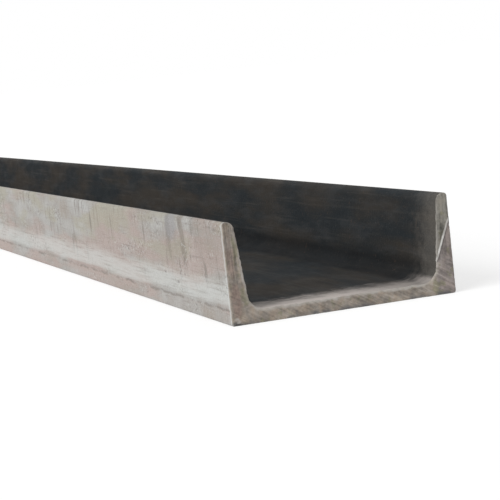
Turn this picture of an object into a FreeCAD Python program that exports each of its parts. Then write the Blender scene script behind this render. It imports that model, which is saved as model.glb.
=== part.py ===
# Hot-rolled steel channel with tapered flanges, one stock length with sawn ends.
# It lies on the back of its web with both flanges up, as a single piece lies on a floor.
# X runs across the section, Y along the length and Z up. Sizes are in millimetres.
# The origin is on the back of the web, in the middle of its width and of the length.

import FreeCAD
import Part
import math
import os

# Section
SECTION_DEPTH = 140.0  # across the web, over the outer faces of both flanges
FLANGE_WIDTH = 60.0  # from the back of the web to the toes
WEB_THICKNESS = 8.0
FLANGE_THICKNESS = 9.5  # halfway between the inner face of the web and the toe
FLANGE_TAPER = 0.10  # thickness gained for each millimetre from the toe to the web
ROOT_RADIUS = 9.5  # inside, where flange and web meet
TOE_RADIUS = 4.75  # inner edge of each toe
TOE_OUTER_RADIUS = 2.0  # outer edge of each toe
HEEL_RADIUS = 1.5  # outer corners, where the back of the web meets the flanges

# Stock
LENGTH = 6000.0

FULL_ROUND = 0.98  # most of a straight edge that the roundings at its two ends may take


def flange_thickness_at(height):
    """Thickness of the tapered flange at a height above the back of the web."""
    middle = (WEB_THICKNESS + FLANGE_WIDTH) / 2
    return FLANGE_THICKNESS + FLANGE_TAPER * (middle - height)


def section_corners():
    """Sharp corners of the section as (x, z, radius), anticlockwise from the right-hand heel."""
    outer = SECTION_DEPTH / 2
    toe = outer - flange_thickness_at(FLANGE_WIDTH)
    root = outer - flange_thickness_at(WEB_THICKNESS)
    right = [
        (outer, 0.0, HEEL_RADIUS),
        (outer, FLANGE_WIDTH, TOE_OUTER_RADIUS),
        (toe, FLANGE_WIDTH, TOE_RADIUS),
        (root, WEB_THICKNESS, ROOT_RADIUS),
    ]
    left = [(-x, z, radius) for x, z, radius in reversed(right)]
    return right + left


def rounded_wire(corners):
    """Closed wire in the XZ plane: straight edges joined by arcs tangent to both neighbours."""
    points = [FreeCAD.Vector(x, 0, z) for x, z, radius in corners]
    count = len(points)

    # Direction from each corner to its two neighbours, and the half angle between them
    back = [(points[i - 1] - points[i]).normalize() for i in range(count)]
    ahead = [(points[(i + 1) % count] - points[i]).normalize() for i in range(count)]
    half = [back[i].getAngle(ahead[i]) / 2 for i in range(count)]

    # Length that each rounding takes from its edges, limited where the wall is too short for it
    wanted = [corners[i][2] / math.tan(half[i]) for i in range(count)]
    share = []
    for i in range(count):
        edge = points[i].distanceToPoint(points[(i + 1) % count])
        share.append(min(1.0, FULL_ROUND * edge / (wanted[i] + wanted[(i + 1) % count])))
    taken = [wanted[i] * min(share[i - 1], share[i]) for i in range(count)]

    starts = [points[i] + back[i] * taken[i] for i in range(count)]
    ends = [points[i] + ahead[i] * taken[i] for i in range(count)]
    edges = []
    for i in range(count):
        radius = taken[i] * math.tan(half[i])
        to_centre = (back[i] + ahead[i]).normalize()
        crown = points[i] + to_centre * (radius / math.sin(half[i]) - radius)
        edges.append(Part.Arc(starts[i], crown, ends[i]).toShape())
        edges.append(Part.LineSegment(ends[i], starts[(i + 1) % count]).toShape())
    return Part.Wire(edges)


def rolled_channel():
    """The section drawn out along Y, centred on the origin."""
    section = Part.Face(rounded_wire(section_corners()))
    section.translate(FreeCAD.Vector(0, -LENGTH / 2, 0))
    return section.extrude(FreeCAD.Vector(0, LENGTH, 0))


def main():
    os.makedirs("parts", exist_ok=True)
    rolled_channel().exportStep("parts/channel.step")


main()
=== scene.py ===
# Steel u-channel: one hot-rolled stock length with sawn ends, lying on the back of its web.
# X runs across the section, Y along the length, Z up. The section is worked out in
# millimetres and the mesh is built in metres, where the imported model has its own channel.
import math
import bpy
from mathutils import Matrix, Vector, noise


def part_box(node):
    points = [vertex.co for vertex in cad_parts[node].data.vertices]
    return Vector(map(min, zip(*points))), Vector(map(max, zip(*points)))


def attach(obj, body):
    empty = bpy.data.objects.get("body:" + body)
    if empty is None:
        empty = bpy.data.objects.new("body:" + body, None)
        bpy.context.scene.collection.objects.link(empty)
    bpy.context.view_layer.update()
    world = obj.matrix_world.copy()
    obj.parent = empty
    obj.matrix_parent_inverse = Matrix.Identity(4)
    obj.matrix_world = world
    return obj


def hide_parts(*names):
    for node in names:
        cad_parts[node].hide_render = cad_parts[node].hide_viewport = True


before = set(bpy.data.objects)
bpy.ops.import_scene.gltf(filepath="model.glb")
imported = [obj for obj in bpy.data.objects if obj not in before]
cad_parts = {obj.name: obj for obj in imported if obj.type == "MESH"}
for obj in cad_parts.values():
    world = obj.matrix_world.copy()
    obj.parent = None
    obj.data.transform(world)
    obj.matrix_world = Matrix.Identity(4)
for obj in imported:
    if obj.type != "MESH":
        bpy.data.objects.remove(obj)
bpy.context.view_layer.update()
mm = 0.001
lowest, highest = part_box("channel")
depth, length, flange = (round(side / mm, 2) for side in highest - lowest)
seedShift = (7.3, 3.1, 5.9)  # how far one seed's noise lies from the next


class Socket:
    # Wraps one output of a node, so that shader maths reads as plain arithmetic.
    def __init__(self, tree, output=None):
        self.tree, self.output = tree, output

    def node(self, kind, settings=None, inputs=None, output=0):
        made = self.tree.nodes.new(kind)
        for name, value in (settings or {}).items():
            if name == "stops":  # a ramp's places and colours, from its low end up
                for _ in value[2:]:
                    made.color_ramp.elements.new(1.0)
                for stop, (position, colour) in zip(made.color_ramp.elements, value):
                    stop.position, stop.color = position, (*colour, 1)
            else:
                setattr(made, name, value)
        for name, value in (inputs or {}).items():
            Socket.feed(made.inputs[name], value)
        return Socket(self.tree, made.outputs[output])

    @staticmethod
    def feed(entry, value):
        if isinstance(value, Socket):
            entry.id_data.links.new(value.output, entry)
        elif entry.type == "RGBA":
            entry.default_value = (*value[:3], 1)
        else:
            entry.default_value = value

    def maths(self, operation, *values):
        return self.node("ShaderNodeMath", {"operation": operation}, dict(enumerate(values)))

    def __add__(self, other):
        return self.maths("ADD", self, other)

    def __sub__(self, other):
        return self.maths("SUBTRACT", self, other)

    def __rsub__(self, other):
        return self.maths("SUBTRACT", other, self)

    def __mul__(self, other):
        return self.maths("MULTIPLY", self, other)

    def __abs__(self):
        return self.maths("ABSOLUTE", self)

    __radd__, __rmul__ = __add__, __mul__

    def ease(self, low, high):  # 0 at low, 1 at high, smooth between; low may be the higher
        return self.node("ShaderNodeMapRange", {"interpolation_type": "SMOOTHSTEP"},
                         {"Value": self, "From Min": low, "From Max": high})

    def blend(self, under, over):  # self is the share of the colour laid over
        return self.node("ShaderNodeMix", {"data_type": "RGBA"}, {0: self, 6: under, 7: over}, 2)

    def grain(self, size, seed, detail=2.0, roughness=0.5):
        # Noise on a place in mm; size is how large its lumps are along x, y and z.
        finer, shift = [1 / s for s in size], [seed * s for s in seedShift]
        place = self.node("ShaderNodeVectorMath", {"operation": "MULTIPLY_ADD"},
                          {0: self, 1: finer, 2: shift})
        return self.node("ShaderNodeTexNoise", {"noise_dimensions": "3D"},
                         {"Vector": place, "Scale": 1.0, "Detail": detail, "Roughness": roughness})


def newFinish(name):
    # A material with its Principled shader, and places on the piece in millimetres
    material = bpy.data.materials.new(name)
    material.use_nodes = True
    tree = material.node_tree
    metres = Socket(tree).node("ShaderNodeTexCoord", output="Object")
    place = metres.node("ShaderNodeVectorMath", {"operation": "SCALE"}, {0: metres, "Scale": 1 / mm})
    axes = [place.node("ShaderNodeSeparateXYZ", inputs={0: place}, output=i) for i in range(3)]
    return material, tree.nodes["Principled BSDF"], place, axes


def coat(shader, look, colour, rough, relief):
    # Feeds the shader; rough is added to the look's roughness, relief is a share of its depth
    shader.inputs["Metallic"].default_value = look["metallic"]
    shader.inputs["Specular IOR Level"].default_value = look["specular"]
    bump = relief.node("ShaderNodeBump", inputs={
        "Strength": 1.0, "Distance": look["relief"] * mm, "Height": relief})
    Socket.feed(shader.inputs["Base Color"], colour)
    Socket.feed(shader.inputs["Roughness"], look["roughness"] + rough)
    Socket.feed(shader.inputs["Normal"], bump)


def stored(place, name):
    # A value that the mesh carries at its points
    return place.node("ShaderNodeAttribute", {"attribute_name": name}, output="Fac")


def patchAt(a, b, centre, size):
    # 1 in the middle of an oval spot on the plane of a and b, 0 from its edge outwards
    p, q = (a - centre[0]) * (1 / size[0]), (b - centre[1]) * (1 / size[1])
    return (p * p + q * q).ease(1.0, 0.15)


def spotted(a, b, spots):
    # Several such spots, each with its own share
    return sum(patchAt(a, b, centre, size) * share for centre, size, share in spots)


def stroke(a, b, start, end, width):
    # A thin mark between two points on the plane of a and b, fading over 2 mm at its ends
    run = Vector(end) - Vector(start)
    unit = run.normalized()
    travel = (a - start[0]) * unit.x + (b - start[1]) * unit.y
    off = abs((a - start[0]) * unit.y - (b - start[1]) * unit.x)
    return off.ease(width, width * 0.35) * travel.ease(-0.5, 1.5) * travel.ease(run.length, run.length - 2)


scaleLook = {
    "pale": (0.424, 0.420, 0.408),  # the thin grey skin of the outer faces
    "grey": (0.368, 0.356, 0.338),
    "warm": (0.332, 0.302, 0.270),
    "rust": (0.392, 0.318, 0.290),  # thin pink-brown bloom
    "olive": (0.352, 0.332, 0.268),  # yellow-grey stain towards the toes
    "bright": (0.550, 0.565, 0.548),  # pale rubbed scale and light grit, and along the band above the heel partly a painted sheen
    "streak": (0.175, 0.155, 0.136),  # dark runs and the roll line
    "smear": (0.190, 0.160, 0.132),
    "speck": (0.085, 0.080, 0.076),
    "hollowDark": (0.019, 0.023, 0.026),  # blue-black scale inside, darkened further as painted shade
    "hollowBrown": (0.039, 0.034, 0.029),
    "hollowGrey": (0.058, 0.060, 0.062),  # where the blue-black scale has flaked to steel grey
    # painted shade in the inner corners
    "rootShade": (0.009, 0.010, 0.011),
    # dust, also the colour of the painted light at the mouth
    "dustAndLight": (0.150, 0.138, 0.122),
    "rubbedAndLit": (0.575, 0.522, 0.490),  # web rubbed by the cut, and painted light at the mouth
    "freckle": (0.078, 0.055, 0.042),  # rust dots inside
    "slate": (0.262, 0.262, 0.268),
    # On the left face, by distance from the near cut and by height
    "slatePatch": ((111.0, 54.0), (17, 13)),  # middle and half widths of a blue-grey patch
    "smears": ((86.0, 6.5, 20.0), (117.0, 6.0, 26.0)),  # middle, half width and foot of each
    "roughness": 0.60, "metallic": 0.10, "specular": 0.08, "relief": 0.24,  # relief in mm
}


def outerScale(look, c, place, axes, fromCut, salt):
    # Pale and warm patches, pink bloom, olive stain, streaks across the length and along it
    x, y, z = axes
    sway = place.grain((14, 14, 9), 20, 3.0) - 0.5
    patch = place.grain((26, 60, 20), 1, 4.0, 0.6)
    colour = place.node("ShaderNodeValToRGB", {"stops": (
        (0.36, look["pale"]), (0.50, look["grey"]), (0.64, look["warm"]))}, {0: patch})
    browned = fromCut.ease(190, 90) * z.ease(22, 44)  # the ends are browner towards the toes
    bloom = (place.grain((60, 150, 26), 2, 4.0, 0.6) + browned * 0.10).ease(0.44, 0.60)
    colour = (bloom * 0.85).blend(colour, look["rust"])
    stain = place.grain((60, 110, 24), 17, 3.0, 0.6).ease(0.46, 0.60) * (z + sway * 30).ease(20, 40)
    colour = (stain * 0.75).blend(colour, look["olive"])
    fineRun = place.grain((30, 1.6, 26), 3, 2.0)
    colour = (fineRun.ease(0.48, 0.74) * 0.26).blend(colour, look["streak"])
    wideRun = place.grain((70, 7.0, 30), 4, 2.0).ease(0.58, 0.72) * z.ease(9, 20)
    colour = (wideRun * 0.60).blend(colour, look["streak"])
    drawn = place.grain((1.5, 45, 1.5), 19, 3.0, 0.6)
    colour = (drawn.ease(0.54, 0.72) * 0.36).blend(colour, look["streak"])
    colour = (browned * patch.ease(0.30, 0.56) * 0.22).blend(colour, look["smear"])
    # Broad smears that hang from the left toe by the near end, and a blue-grey patch on the toe
    leftSide, fromNear = x.ease(0, -1), y + c["length"] / 2
    for middle, halfWidth, foot in look["smears"]:
        width = abs(fromNear + sway * 9 - middle).ease(halfWidth, halfWidth * 0.3)
        smear = width * (z + sway * 20).ease(foot, foot + 20) * leftSide
        colour = (smear * 0.58).blend(colour, look["smear"])
    slate = patchAt(fromNear + sway * 16, z + sway * 9, *look["slatePatch"]) * leftSide
    colour = (slate * 0.64).blend(colour, look["slate"])
    # A pale band above the heel, partly rubbed and partly a painted sheen, the pinker heel band below it
    # and the roll line between
    rollLine = c["rollLine"]
    wander = place.grain((50, 120, 50), 5, 2.0) * 10 + drawn * 9
    height = z + wander - (rollLine + 0.5)
    rubbedSheenBand = height.ease(10, 13) * height.ease(29, 19)
    colour = (rubbedSheenBand * (0.64 - drawn.ease(0.46, 0.66) * 0.26)).blend(colour, look["bright"])
    heelBand = z.ease(rollLine + 0.2, rollLine - 0.4)
    colour = (heelBand * (0.10 + bloom * 0.40)).blend(colour, look["rust"])
    broken = place.grain((9, 22, 9), 6, 3.0, 0.6).ease(0.42, 0.58)
    line = abs(z + sway * 4 - rollLine).ease(1.5, 0.2) * broken
    colour = (line * 0.60).blend(colour, look["streak"])
    # Dark and light grit in patches, closer by the cut, and a fine salt over all
    lumps = place.grain((2.4, 3.4, 2.2), 7, 2.0, 0.6)
    gritty = (place.grain((26, 44, 14), 8, 2.0) + fromCut.ease(160, 0) * 0.08).ease(0.50, 0.66)
    grit = lumps.ease(0.54, 0.70) * gritty
    colour = (grit * 0.58).blend(colour, look["speck"])
    colour = (lumps.ease(0.46, 0.32) * gritty * 0.50).blend(colour, look["bright"])
    colour = (salt.ease(0.54, 0.70) * 0.40).blend(colour, look["streak"])
    colour = (salt.ease(0.46, 0.30) * 0.42).blend(colour, look["bright"])
    # A strip next to the cut, rubbed pale
    rubbed = (fromCut + place.grain((3, 3, 3), 9, 3.0) * 4).ease(5.4, 3.2)
    return (rubbed * 0.6).blend(colour, look["bright"]), fineRun, grit


def hollowScaleAndShade(look, c, place, axes, fromCut, salt):
    # Dark scale, partly its own colour and partly painted shade, flaked in places and scuffed along the
    # length, with dust and rust freckles
    x, _, z = axes
    mottle = place.grain((24, 110, 22), 11, 4.0, 0.55)
    colour = mottle.ease(0.36, 0.66).blend(look["hollowDark"], look["hollowBrown"])
    flaked = place.grain((11, 48, 9), 34, 5.0, 0.65).ease(0.48, 0.66)
    colour = (flaked * 0.28).blend(colour, look["hollowGrey"])
    drag = place.grain((2.6, 110, 2.6), 12, 3.0, 0.6)
    colour = (drag.ease(0.52, 0.78) * 0.15).blend(colour, look["dustAndLight"])
    colour = (salt.ease(0.58, 0.74) * 0.25).blend(colour, look["dustAndLight"])
    scuff = place.grain((8, 34, 8), 13, 4.0, 0.65) - 0.5
    side = c["depth"] / 2
    # Darker along each flange's root: painted shade in the inner corner
    rootShade = (abs(x) + scuff * 6).ease(side - 25, side - 17) * (z + scuff * 6).ease(24, 15)
    colour = (rootShade * 0.75).blend(colour, look["rootShade"])
    freckles = place.grain((2.6, 3.2, 2.6), 16, 2.0).ease(0.64, 0.72)
    colour = (freckles * 0.3).blend(colour, look["freckle"])
    # Lighter at the mouth: dust, and painted light falling in from the cut. The web lighter along the cut,
    # partly rubbed bare and partly painted light, fading to the right as painted shade
    blot = place.grain((13, 11, 10), 18, 4.0, 0.65) - 0.5
    mouthDustAndLight = (fromCut + blot * 50).ease(40, 0)
    colour = (mouthDustAndLight * (0.15 + salt * 0.7)).blend(colour, look["dustAndLight"])
    lipRubbedAndLit = (fromCut + blot * 46).ease(40, 4) * (z + scuff * 5).ease(c["web"] + 4, c["web"] + 0.8)
    return (lipRubbedAndLit * (0.90 - x.ease(-10, 52) * 0.45)).blend(colour, look["rubbedAndLit"])


def millScale(look, c):
    material, shader, place, axes = newFinish("rolled mill scale")
    fromCut = c["length"] / 2 - abs(axes[1])
    salt = place.grain((0.9, 1.4, 0.9), 10, 3.0, 0.7)
    outside, fineRun, grit = outerScale(look, c, place, axes, fromCut, salt)
    inside = hollowScaleAndShade(look, c, place, axes, fromCut, salt)
    # The hollow takes the inside colours: scale darkened with painted shade
    hollow = stored(place, "hollow").ease(0.25, 0.75)
    rough = (place.grain((9, 24, 9), 14, 3.0) - 0.5) * 0.35 + hollow * 0.22
    relief = place.grain((1.6, 2.4, 1.6), 15, 4.0, 0.6) * 0.6 + fineRun * 0.4 - grit * 0.6
    coat(shader, look, hollow.blend(outside, inside), rough, relief)
    return material


cutLook = {
    "grey": (0.264, 0.234, 0.203),
    "tan": (0.284, 0.236, 0.191),
    "pink": (0.268, 0.200, 0.171),
    "olive": (0.196, 0.186, 0.124),
    "green": (0.215, 0.222, 0.196),
    "violet": (0.218, 0.188, 0.192),
    "light": (0.380, 0.350, 0.318),
    "oil": (0.075, 0.082, 0.092),  # blue-grey patches along the bottom edge
    "rim": (0.445, 0.420, 0.390),
    "glint": (0.680, 0.665, 0.635),
    "dark": (0.045, 0.042, 0.038),
    # Places on the near end, in mm across it and up it. A spot has a middle, half widths and
    # a share: olive in the right heel and inside the left flange, pink down that flange
    "oliveSpots": (((59, 6), (7, 6), 1.0), ((-60, 17), (4, 8), 1.0), ((-63.4, 38), (2.4, 16), 0.6)),
    "pinkSpots": (((-65.8, 14), (3.6, 14), 1.0), ((-66.8, 38), (2.8, 15), 0.8)),
    "rubbedHeel": ((-67.2, 2.6), (3.2, 2.4)),
    "darkUnderHeel": ((-67.5, 0.2), (4.5, 1.5)),
    "scratch": ((58.6, 19.0), (70.0, 46.0)),  # its foot and head on the right flange
    "scratchWidth": 0.80,
    "scratchGlint": ((63, 30), (6, 9)),  # where it is brightest
    "sawSlope": 31.0,  # degrees below level that the saw's lines run down to the right
    "roughness": 0.60, "metallic": 0.15, "specular": 0.4, "relief": 0.18,
}


def sawMarks(look, place, x, z, near):
    # Light lines and strokes, slanting across the web
    slope = math.radians(look["sawSlope"])
    across = x * math.sin(slope) + z * math.cos(slope)
    down = x * math.cos(slope) - z * math.sin(slope)
    slant = place.node("ShaderNodeCombineXYZ", inputs={0: across, 1: 0.0, 2: down})
    saw = slant.grain((1.1, 1, 14), 23, 3.0)
    torn = slant.grain((2.4, 1, 10), 29, 3.0, 0.65)
    upper = z.ease(12, 32)  # up the flanges, where the marks turn to run along them
    light = saw.ease(0.58, 0.74) * place.grain((14, 9, 14), 28, 2.0).ease(0.42, 0.60)
    strokes = (saw.ease(0.34, 0.66) - 0.5) * 0.30 + (torn.ease(0.34, 0.66) - 0.5) * 0.26
    strokes = strokes * (1.0 - x.ease(-46, -56) * near * 0.50)  # fainter by the left heel
    upright = (place.grain((1.7, 4, 22), 35, 3.0, 0.6).ease(0.34, 0.66) - 0.5) * 0.50
    return light * (0.40 - upper * 0.25), strokes + (upright - strokes) * upper


def sawnSteel(look):
    material, shader, place, (x, y, z) = newFinish("sawn end")
    near = y.ease(0, -1)  # the marks of one end stay off the other
    patch = place.grain((6, 6, 8), 21, 4.0, 0.65)
    green = place.grain((4, 4, 5), 22, 3.0, 0.6)
    sway = green - 0.5
    colour = patch.ease(0.40, 0.62).blend(look["grey"], look["tan"])
    # Above its scratch the right flange is greener, below it purple
    foot, head = (Vector(p) for p in look["scratch"])
    unit = (head - foot).normalized()
    beside = (x - foot.x) * unit.y - (z - foot.y) * unit.x + sway * 5
    rightFlange = x.ease(56, 60) * near
    above = rightFlange * beside.ease(1, -1)
    colour = (above * 0.50).blend(colour, look["green"])
    colour = (rightFlange * beside.ease(-1, 1) * 0.55).blend(colour, look["violet"])
    olive = green + spotted(x, z, look["oliveSpots"]) * near * 0.15
    colour = (olive.ease(0.56, 0.68) * 0.70).blend(colour, look["olive"])
    blush = spotted(x, z, look["pinkSpots"]) * near
    colour = (blush * patch.ease(0.28, 0.50) * 0.80).blend(colour, look["pink"])
    # The saw's marks over it, with fine and cloudy shading, and painted shade that darkens it up the
    # flanges
    light, strokes = sawMarks(look, place, x, z, near)
    colour = light.blend(colour, look["light"])
    fine = place.grain((1.5, 1.5, 1.5), 33, 2.0, 0.6).ease(0.32, 0.68)
    cloud = place.grain((7, 7, 6), 32, 3.0, 0.6).ease(0.34, 0.66)
    shade = 0.76 + strokes + fine * 0.20 + cloud * 0.33
    # Painted shade: darker up the flanges, more so on the right flange above its scratch
    shade = shade - z.ease(8, 26) * 0.15 - above * z.ease(24, 36) * 0.18
    colour = place.node("ShaderNodeMix", {"data_type": "RGBA", "blend_type": "MULTIPLY"},
                        {0: 1.0, 6: colour, 7: shade}, 2)
    # Oily patches along the bottom edge
    bottom = (z + place.grain((7, 9, 7), 24, 3.0) * 6).ease(6.0, 3.0)
    oil = bottom * place.grain((13, 9, 16), 25).ease(0.42, 0.54)
    colour = (oil * 0.75).blend(colour, look["oil"])
    # The bright edge along the hollow, and a thinner one along the outside
    worn = place.grain((5, 5, 5), 26, 4.0, 0.65)
    broken = place.grain((11, 9, 11), 30, 3.0, 0.6).ease(0.30, 0.56)
    rim = (stored(place, "fromHollow") + worn * 3.0).ease(3.6, 1.8) * (0.35 + broken * 0.65)
    rim = rim * (1.0 - x.ease(40, 60) * 0.5) * (0.45 + z.ease(46, 30) * 0.55)
    colour = (rim * 0.85).blend(colour, look["rim"])
    skin = (stored(place, "fromSkin") + worn * 1.6).ease(1.4, 0.6) * broken
    colour = (skin * 0.5).blend(colour, look["rim"])
    # The left heel of the near end: rubbed light, and darker just below it
    heel = patchAt(x, z + sway * 5, *look["rubbedHeel"]) * near
    colour = (heel * worn.ease(0.30, 0.55) * 0.80).blend(colour, look["rim"])
    underHeel = patchAt(x, z + sway * 4, *look["darkUnderHeel"]) * near
    colour = (underHeel * 0.80).blend(colour, look["dark"])
    # The scratch, with a dark line beside it
    bent, width = x + sway * 1.1, look["scratchWidth"]
    scratch = stroke(bent, z, foot, head, width) * near
    shadow = stroke(bent - width, z, foot, head, width) * near
    colour = (shadow * 0.45).blend(colour, look["dark"])
    glint = place.grain((3, 9, 4), 31, 3.0, 0.6).ease(0.36, 0.60) * 0.42
    glint = glint + patchAt(x, z, *look["scratchGlint"]) * 0.32
    colour = (scratch * (0.24 + glint)).blend(colour, look["glint"])

    rough = (patch - 0.5) * 0.3 - rim * 0.12
    relief = strokes * 0.8 + place.grain((0.9, 0.9, 0.9), 27, 3.0, 0.6) * 0.5 - scratch * 0.6
    coat(shader, look, colour, rough, relief)
    return material


channel = {
    "depth": depth, "flange": flange, "length": length,
    "web": 8.0,
    "flangeThickness": 9.5, "taper": 0.10,  # thickness halfway down the flange, and its slope
    "root": 9.5, "toe": 4.75, "toeOuter": 2.0, "heel": 1.5,
    "rollLine": 9.0, "rollLineDeep": 0.22, "rollLineHalf": 0.6,  # its height, depth and half width
    "wave": 0.09, "ripple": 0.035,  # unevenness left by the rolls, long and short
    # Sawn edges: how far they round off and stray, and over which distance each fades
    "edgeRounding": 0.30, "roundingFades": 0.22, "rag": 1.9, "ragFades": 0.9,
    # Sawn faces: their relief, and how far in it pulls the skin along
    "setBack": 0.12, "sweep": 0.14, "pits": 0.05, "chips": 1.5, "cutFades": 1.8, "cutReach": 12.0,
    # Rows of points: fine ones at these distances from a cut, then coarse ones, ever wider apart
    "fineGaps": (0, 0.35, 0.75, 1.2, 1.75, 2.4, 3.2, 4.2, 5.4, 6.8, 8.5),
    "coarseGap": 10.7, "growth": 1.0985, "endRows": 26, "endLength": 246.0, "middleRows": 100,
    "through": 14,  # faces through the thickness on a sawn end
    "sharpOver": 60.0,  # degrees between two faces that meet in a sharp edge
}
toeSteps, faceSteps, rootSteps, webSteps = 6, 34, 20, 40
halfSteps = toeSteps + faceSteps + rootSteps + webSteps
heelSteps, roundSteps = 7, 5  # of the root's steps, on the outer line: above the heel and round it
fineStep = 0.5  # a fine outline has a point at every half step


def along(a, b, t):
    return (a[0] + (b[0] - a[0]) * t, a[1] + (b[1] - a[1]) * t)


def arc(centre, radius, fromAngle, toAngle, t):
    angle = math.radians(fromAngle + (toAngle - fromAngle) * t)
    return (centre[0] + radius * math.cos(angle), centre[1] + radius * math.sin(angle))


def sectionLines(c):
    # Two functions of u, from 0 at the left toe to halfSteps in the middle of the web:
    # the outer line and the line of the hollow, which face each other at every u.
    side, top = -c["depth"] / 2, c["flange"]
    tilt, across = math.degrees(math.atan(c["taper"])), math.hypot(1, c["taper"])

    def innerAt(z):
        return side + c["flangeThickness"] + c["taper"] * ((top + c["web"]) / 2 - z)

    toeZ, rootZ = top - c["toe"], c["web"] + c["root"]
    toeCentre = (innerAt(toeZ) - c["toe"] * across, toeZ)
    rootCentre = (innerAt(rootZ) + c["root"] * across, rootZ)
    toeFoot = arc(toeCentre, c["toe"], 0, tilt, 1)
    rootTop = arc(rootCentre, c["root"], 180, 180 + tilt, 1)
    webEdge = (rootCentre[0], 0.0)
    # Heights down the outside to the heel, with the groove of the roll line among them
    line, half = c["rollLine"], c["rollLineHalf"]
    heights = (rootTop[1], 12.6, line + half, line, line - half, 5.6, 3.2, c["heel"])

    def outer(u):
        if u < toeSteps:
            return arc((side + c["toeOuter"], top - c["toeOuter"]), c["toeOuter"], 90, 180, u / toeSteps)
        u -= toeSteps
        if u < faceSteps:
            return along((side, top - c["toeOuter"]), (side, heights[0]), u / faceSteps)
        u -= faceSteps
        if u < heelSteps:
            i = int(u)
            return along((side, heights[i]), (side, heights[i + 1]), u - i)
        u -= heelSteps
        if u < roundSteps:
            return arc((side + c["heel"], c["heel"]), c["heel"], 180, 270, u / roundSteps)
        u -= roundSteps
        underSteps = rootSteps - heelSteps - roundSteps
        if u < underSteps:
            return along((side + c["heel"], 0.0), webEdge, u / underSteps)
        return along(webEdge, (0.0, 0.0), (u - underSteps) / webSteps)

    def inner(u):
        if u < toeSteps:
            return arc(toeCentre, c["toe"], 90, tilt, u / toeSteps)
        u -= toeSteps
        if u < faceSteps:
            return along(toeFoot, rootTop, u / faceSteps)
        u -= faceSteps
        if u < rootSteps:
            return arc(rootCentre, c["root"], 180 + tilt, 270, u / rootSteps)
        return along((rootCentre[0], c["web"]), (0.0, c["web"]), (u - rootSteps) / webSteps)

    return outer, inner


def walkSection(c, fine):
    # The closed outline, from the left toe down and round to the right toe and back along
    # the hollow. Each point: x, z, outward normal, share of the way in, thickness there.
    # With it come the distances along the outline to each point, and once round.
    outer, inner = sectionLines(c)
    step = fineStep if fine else 1.0
    through = c["through"] if fine else c["through"] // 2
    left = [i * step for i in range(int(halfSteps / step) + 1)]

    def whole(line):
        half = [line(u) for u in left]
        return half + [(-x, z) for x, z in reversed(half[:-1])]

    skin, hollow = whole(outer), whole(inner)
    thick = [math.dist(a, b) for a, b in zip(skin, hollow)]
    shares = [j / through for j in range(1, through)]
    points = [(*p, 0.0, t) for p, t in zip(skin, thick)]
    points += [(*along(skin[-1], hollow[-1], s), s, thick[-1]) for s in shares]
    points += [(*p, 1.0, t) for p, t in zip(reversed(hollow), reversed(thick))]
    points += [(*along(hollow[0], skin[0], s), 1 - s, thick[0]) for s in shares]
    loop, ways = [], [0.0]
    for i, (x, z, share, thickness) in enumerate(points):
        before, after = points[i - 1], points[(i + 1) % len(points)]
        run = Vector((after[0] - before[0], after[1] - before[1])).normalized()
        loop.append((x, z, run.y, -run.x, share, thickness))
        ways.append(ways[-1] + math.dist((x, z), after[:2]))
    return loop, ways


def uneven(x, y, z):
    # Smooth noise from about -1 to 1, the same at every run
    return noise.noise(Vector((x, y, z)))


def rollingWave(c, x, y, z):
    # Slight unevenness left by the rolls, longer along the stock than across it
    return c["wave"] * uneven(x / 32, y / 330, z / 32) + c["ripple"] * uneven(x / 7, y / 40, z / 7 + 9)


def raggedEdge(x, z, end, share):
    # How far the sawn edge strays along the surface's normal: positive is a burr
    seed = 5.0 * end
    stray = 0.55 * uneven(x / 3.4, z / 3.4, seed) + 0.45 * uneven(x / 1.3, z / 1.3, seed + 3)
    tear = max(0.0, uneven(x / 9, z / 9, seed + 7) - 0.12)
    return stray * (0.30 + 1.5 * tear) * (0.35 + 0.65 * share)


def cutDepth(c, x, z, end, edge):
    # Relief of a sawn face, into the metal, chipped and worn off towards its edges;
    # edge is how far the nearest one is
    seed = 11.0 * end
    sweep = c["sweep"] * uneven(x / 26, z / 26, seed)
    pits = c["pits"] * uneven(x / 2.6, z / 2.6, seed + 2)
    chip = c["chips"] * max(0.0, uneven(x / 2.8, z / 2.8, seed + 5) - 0.22)
    return c["setBack"] + sweep + pits + chip * math.exp(-edge) + 0.10 * math.exp(-edge / 0.5)


def addPoint(shell, place, share, thickness):
    # shell is the growing mesh, as lists; share is how far in from the outside to the hollow
    shell["points"].append(place)
    shell["hollow"].append(share)
    shell["fromHollow"].append((1 - share) * thickness)
    shell["fromSkin"].append(share * thickness)
    return len(shell["points"]) - 1


def addFace(shell, ring, places, sawn):
    shell["faces"].append(ring)
    shell["map"] += places
    shell["sawn"].append(sawn)


def addRow(shell, c, loop, gap, end):
    # One outline, gap millimetres in from the near end (-1) or the far end (1)
    y = end * (c["length"] / 2 - gap)
    row = []
    for x, z, nx, nz, share, thickness in loop:
        out, cut = rollingWave(c, x, y, z), 0.0
        if share == 0.0 and z > c["heel"]:
            broken = 0.7 + 0.5 * uneven(0, y / 30, x)  # the groove comes and goes
            groove = max(0.0, 1 - abs(z - c["rollLine"]) / c["rollLineHalf"])
            out -= c["rollLineDeep"] * broken * groove
        if gap < c["cutReach"]:
            out -= c["edgeRounding"] * math.exp(-gap / c["roundingFades"])
            out += c["rag"] * raggedEdge(x, z, end, share) * math.exp(-gap / c["ragFades"])
            cut = cutDepth(c, x, z, end, 0.0) * math.exp(-gap / c["cutFades"])
        place = ((x + nx * out) * mm, (y - end * cut) * mm, max(z + nz * out, 0.0) * mm)
        row.append(addPoint(shell, place, share, thickness))
    return row


def onMap(box, across, up):
    # A place on the map, from the distances in mm to the left and the bottom of its box
    return (box["left"] + across * box["across"], box["bottom"] + up * box["up"])


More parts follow.
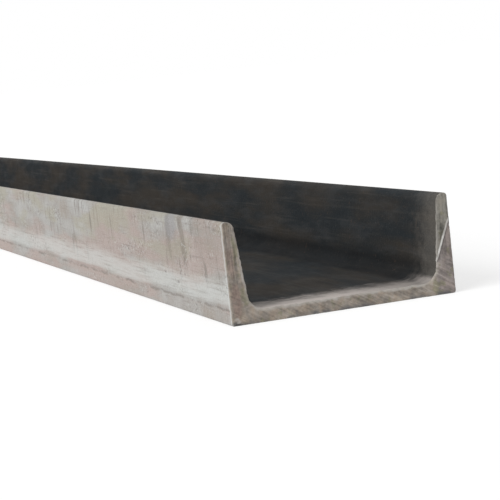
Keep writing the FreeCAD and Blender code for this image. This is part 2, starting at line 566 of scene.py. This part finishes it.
def mapBoxes(c, around, endFaces, middle):
    # Where each stretch lies on the square map, in shares of its side: the two ends finely,
    # the middle folded into five strips, and the sawn faces finest of all. The numbers are
    # pixels of a map of 1024.
    side, margin, strips = 1024, 4, 5
    cutSize, endSize, stripSize = (458, 196), (504, 300), (200, 504)
    endBottom, stripBottom, stripApart = 210, 516, 204

    def box(left, bottom, size, across, up, rows=None):
        return {"rows": rows, "left": left / side, "bottom": bottom / side,
                "across": size[0] / side / across, "up": size[1] / side / up}

    stretches, cuts = [], []
    last = 2 * endFaces + c["middleRows"]
    for k, rows in enumerate(((0, endFaces), (last - endFaces, last))):
        left = margin + k * side / 2
        stretches.append(box(left, endBottom, endSize, around, c["endLength"], rows))
        cuts.append(box(left, margin, cutSize, c["depth"], c["flange"]))
    perStrip = c["middleRows"] // strips
    for k in range(strips):
        rows = (endFaces + k * perStrip, endFaces + (k + 1) * perStrip)
        left = margin + k * stripApart
        stretches.append(box(left, stripBottom, stripSize, around, perStrip * middle, rows))
    return stretches, cuts


def addSkin(shell, pair, ways, ups, box, sawn):
    # Faces between two rows. Where a fine row meets a coarse one, a face has five corners.
    a, b = (len(row) for row in pair)
    for i in range(min(a, b)):
        if a == b:
            ring = [(0, i), (1, i), (1, i + 1), (0, i + 1)]
        elif a > b:
            ring = [(0, 2 * i), (1, i), (1, i + 1), (0, 2 * i + 2), (0, 2 * i + 1)]
        else:
            ring = [(0, i), (1, 2 * i), (1, 2 * i + 1), (1, 2 * i + 2), (0, i + 1)]
        corners = [pair[far][k % len(pair[far])] for far, k in ring]
        addFace(shell, corners, [onMap(box, ways[far][k], ups[far]) for far, k in ring], sawn)


def addSawnFace(shell, c, row, end, box):
    # A net of faces over a cut, between the outer line and the hollow
    spans, through = int(2 * halfSteps / fineStep), c["through"]
    inward = range(1, through)
    net = []
    for i in range(spans + 1):
        outside, inside = row[i], row[2 * spans + through - i]
        if i == 0:
            between = [row[-j] for j in inward]
        elif i == spans:
            between = [row[spans + j] for j in inward]
        else:
            a, b = (Vector(shell["points"][k]) for k in (outside, inside))
            thickness = shell["fromHollow"][outside]
            between = []
            for share in (j / through for j in inward):
                p = a.lerp(b, share)
                edge = thickness * min(share, 1 - share)
                y = end * (c["length"] / 2 - cutDepth(c, p.x / mm, p.z / mm, end, edge))
                between.append(addPoint(shell, (p.x, y * mm, p.z), share, thickness))
        net.append([outside, *between, inside])
    for i in range(spans):
        for j in range(through):
            ring = [net[i][j], net[i + 1][j], net[i + 1][j + 1], net[i][j + 1]]
            if end > 0:
                ring.reverse()
            places = [shell["points"][k] for k in ring]
            spots = [onMap(box, x / mm + c["depth"] / 2, z / mm) for x, _, z in places]
            addFace(shell, ring, spots, True)


def rowsOfEnd(c):
    # How far from its cut each row of an end lies, and whether it is a fine one
    steps = [c["growth"] ** k for k in range(c["endRows"])]
    stretch = (c["endLength"] - c["coarseGap"]) / sum(steps)
    gaps = [c["coarseGap"]]
    for step in steps:
        gaps.append(gaps[-1] + step * stretch)
    return [(gap, True) for gap in c["fineGaps"]] + [(gap, False) for gap in gaps]


def buildChannel(c):
    shell = {name: [] for name in ("points", "hollow", "fromHollow", "fromSkin", "faces", "map", "sawn")}
    half = c["length"] / 2
    fineLoop, fineWays = walkSection(c, True)
    coarseLoop, coarseWays = walkSection(c, False)
    ends = rowsOfEnd(c)
    middle = 2 * (half - c["endLength"]) / c["middleRows"]
    between = [(c["endLength"] + k * middle, False) for k in range(1, c["middleRows"])]
    rows = [(gap, -1, fine) for gap, fine in ends + between]
    rows += [(gap, 1, fine) for gap, fine in reversed(ends)]
    made = [addRow(shell, c, fineLoop if fine else coarseLoop, gap, end) for gap, end, fine in rows]
    rowY = [end * (half - gap) for gap, end, _ in rows]

    stretches, cuts = mapBoxes(c, fineWays[-1], len(ends) - 1, middle)
    for r, pair in enumerate(zip(made, made[1:])):
        box = next(box for box in stretches if box["rows"][0] <= r < box["rows"][1])
        ways = [fineWays if len(row) == len(fineLoop) else coarseWays for row in pair]
        ups = [y - rowY[box["rows"][0]] for y in rowY[r:r + 2]]
        addSkin(shell, pair, ways, ups, box, sawn=r in (0, len(made) - 2))
    addSawnFace(shell, c, made[0], -1, cuts[0])
    addSawnFace(shell, c, made[-1], 1, cuts[1])

    mesh = bpy.data.meshes.new("rolled_channel")
    mesh.from_pydata(shell["points"], [], shell["faces"])
    mesh.polygons.foreach_set("material_index", [int(sawn) for sawn in shell["sawn"]])
    for name in ("hollow", "fromHollow", "fromSkin"):
        mesh.attributes.new(name, "FLOAT", "POINT").data.foreach_set("value", shell[name])
    layer = mesh.uv_layers.new(name="OFBake")
    layer.uv.foreach_set("vector", [n for place in shell["map"] for n in place])
    mesh.validate()
    mesh.shade_smooth()
    mesh.set_sharp_from_angle(angle=math.radians(c["sharpOver"]))
    return bpy.data.objects.new("rolled_channel", mesh)


print("rolling the channel")
steelChannel = buildChannel(channel)
bpy.context.scene.collection.objects.link(steelChannel)
print("finishes: mill scale and sawn ends")
steelChannel.data.materials.append(millScale(scaleLook, channel))
steelChannel.data.materials.append(sawnSteel(cutLook))
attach(steelChannel, "root")
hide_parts("channel")


studio = {
    "floorSize": 80.0,
    "floorGlow": 0.62, "floorPale": 0.45,  # the floor as the camera sees it, near white
    "floorPlain": 0.80,  # the floor as it lights the piece
    "skyStrength": 0.55,
    "sunStrength": 2.1, "sunAngle": 45.0, "toSun": (-0.80, -0.33, 0.52),
}


def seenDirectly(maker):
    # 1 for rays of the camera, of a reflection or through glass, 0 for the light's own
    camera, glossy, glass = (maker.node("ShaderNodeLightPath", output=name) for name in (
        "Is Camera Ray", "Is Glossy Ray", "Is Transmission Ray"))
    return maker.maths("MAXIMUM", maker.maths("MAXIMUM", camera, glossy), glass)


def layFloor(look):
    size = look["floorSize"] / 2
    corners = [(-size, -size, 0), (size, -size, 0), (size, size, 0), (-size, size, 0)]
    mesh = bpy.data.meshes.new("floor")
    mesh.from_pydata(corners, [], [(0, 1, 2, 3)])
    material = bpy.data.materials.new("pale floor")
    material.use_nodes = True
    tree = material.node_tree
    tree.nodes.remove(tree.nodes["Principled BSDF"])
    pale = Socket(tree)
    soft, plain = [look["floorPale"]] * 3, [look["floorPlain"]] * 3
    shown = pale.node("ShaderNodeAddShader", inputs={
        0: pale.node("ShaderNodeEmission", inputs={"Color": (1, 1, 1), "Strength": look["floorGlow"]}),
        1: pale.node("ShaderNodeBsdfDiffuse", inputs={"Color": soft})})
    lit = pale.node("ShaderNodeBsdfDiffuse", inputs={"Color": plain})
    surface = pale.node("ShaderNodeMixShader", inputs={0: seenDirectly(pale), 1: lit, 2: shown})
    Socket.feed(tree.nodes["Material Output"].inputs["Surface"], surface)
    mesh.materials.append(material)
    floor = bpy.data.objects.new("floor", mesh)
    bpy.context.scene.collection.objects.link(floor)


def lightStudio(look):
    world = bpy.data.worlds.new("studio")
    bpy.context.scene.world = world
    world.use_nodes = True
    tree = world.node_tree
    tree.nodes.remove(tree.nodes["Background"])
    sky = Socket(tree)
    light = sky.node("ShaderNodeBackground", inputs={"Color": (1, 1, 1), "Strength": look["skyStrength"]})
    white = sky.node("ShaderNodeBackground", inputs={"Color": (1, 1, 1), "Strength": 1.0})
    both = sky.node("ShaderNodeMixShader", inputs={0: seenDirectly(sky), 1: light, 2: white})
    Socket.feed(tree.nodes["World Output"].inputs["Surface"], both)
    sun = bpy.data.lights.new("window", "SUN")
    sun.energy, sun.angle = look["sunStrength"], math.radians(look["sunAngle"])
    lamp = bpy.data.objects.new("window", sun)
    lamp.rotation_euler = Vector(look["toSun"]).to_track_quat("Z", "Y").to_euler()
    bpy.context.scene.collection.objects.link(lamp)


shot = {
    "place": (-0.3736, -4.0162, 0.1489),  # metres
    "heading": 17.43, "rise": -5.71, "roll": 6.31,  # degrees
    "lens": 135.1, "sensor": 36.0, "farthest": 200.0,
}


def setCamera(look):
    data = bpy.data.cameras.new("camera")
    data.sensor_fit, data.sensor_width, data.lens = "HORIZONTAL", look["sensor"], look["lens"]
    data.clip_end = look["farthest"]
    heading, rise, roll = (math.radians(look[k]) for k in ("heading", "rise", "roll"))
    flat = math.cos(rise)
    ahead = Vector((math.sin(heading) * flat, math.cos(heading) * flat, math.sin(rise)))
    level = ahead.cross(Vector((0, 0, 1))).normalized()
    plumb = level.cross(ahead)
    right = level * math.cos(roll) - plumb * math.sin(roll)
    up = plumb * math.cos(roll) + level * math.sin(roll)
    turn = Matrix((right, up, -ahead)).transposed().to_4x4()
    camera = bpy.data.objects.new("camera", data)
    camera.matrix_world = Matrix.Translation(look["place"]) @ turn
    bpy.context.scene.collection.objects.link(camera)
    bpy.context.scene.camera = camera


print("floor, light and camera")
layFloor(studio)
lightStudio(studio)
setCamera(shot)
bpy.context.scene.view_settings.view_transform = "Standard"
